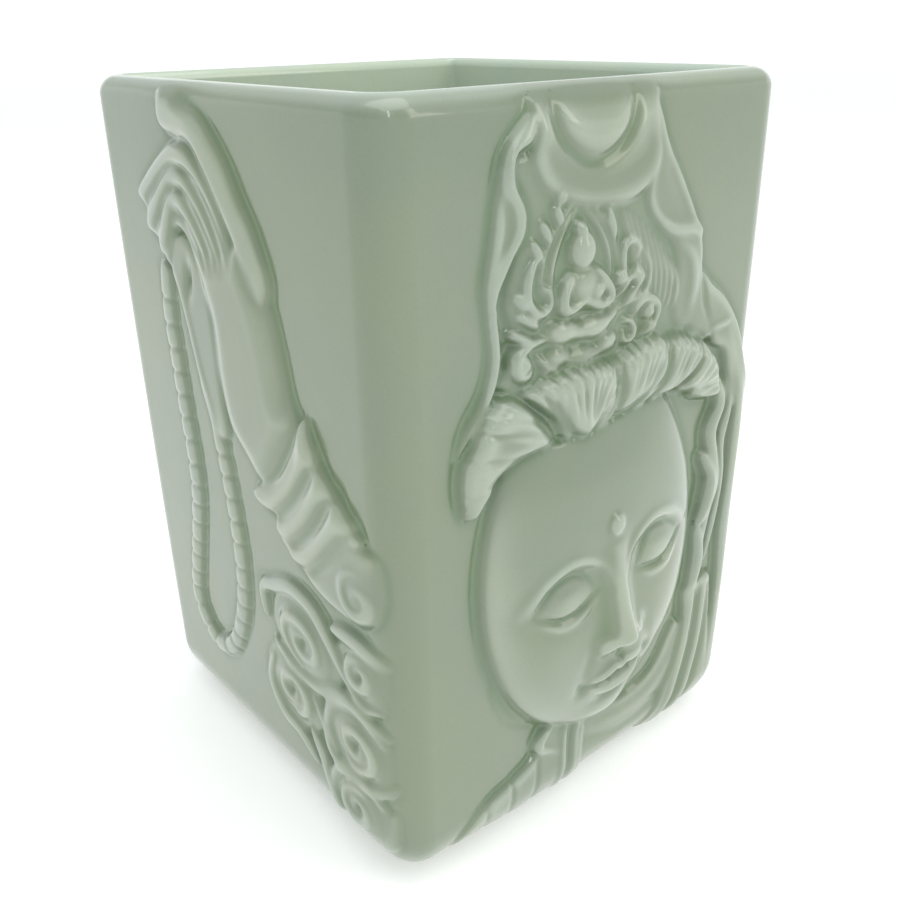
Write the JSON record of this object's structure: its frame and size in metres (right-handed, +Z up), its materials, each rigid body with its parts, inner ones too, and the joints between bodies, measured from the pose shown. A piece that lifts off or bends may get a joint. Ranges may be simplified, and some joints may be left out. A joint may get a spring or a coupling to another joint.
{
  "type": "brush holder pot",
  "caption": "Square upright porcelain brush pot, open at the top, with a serene veiled head in high relief on one wall and a hand with prayer beads on the next.",
  "frame": {"origin": "centre of the foot ring's resting face", "axes": "+Z up out of the mouth; -Y out of the wall with the head, -X out of the wall with the hand"},
  "size_m": [0.0855, 0.0898, 0.12],
  "materials": {
    "glazed_body": "smooth, thick celadon glaze, glossy with a soft sheen",
    "glazed_relief": "celadon glaze, thin and pale over edges, darker green where it pools",
    "biscuit_foot": "unglazed, fine matt biscuit"
  },
  "bodies": {
    "root": {"wall_front": "glazed_body", "wall_left": "glazed_body", "wall_right": "glazed_body", "wall_back": "glazed_body", "floor_slab": "glazed_body", "foot_ring": "biscuit_foot", "topknot": "glazed_relief", "veil_fold": "glazed_relief", "veil_left": "glazed_relief", "veil_right": "glazed_relief", "crown_plate": "glazed_relief", "crown_figure": "glazed_relief", "crown_lotus_seat": "glazed_relief", "crown_scrolls": "glazed_relief", "hair_locks": "glazed_relief", "side_hair": "glazed_relief", "face": "glazed_relief", "urna_dot": "glazed_relief", "ear_right": "glazed_relief", "neck": "glazed_relief", "robe_left": "glazed_relief", "robe_right": "glazed_relief", "shawl": "glazed_relief", "hand_back": "glazed_relief", "fingers": "glazed_relief", "thumb": "glazed_relief", "sleeve_cuffs": "glazed_relief", "sleeve_hem": "glazed_relief", "prayer_beads": "glazed_relief", "clouds_left": "glazed_relief", "clouds_right": "glazed_relief", "clouds_back": "glazed_relief"}
  },
  "joints": []
}
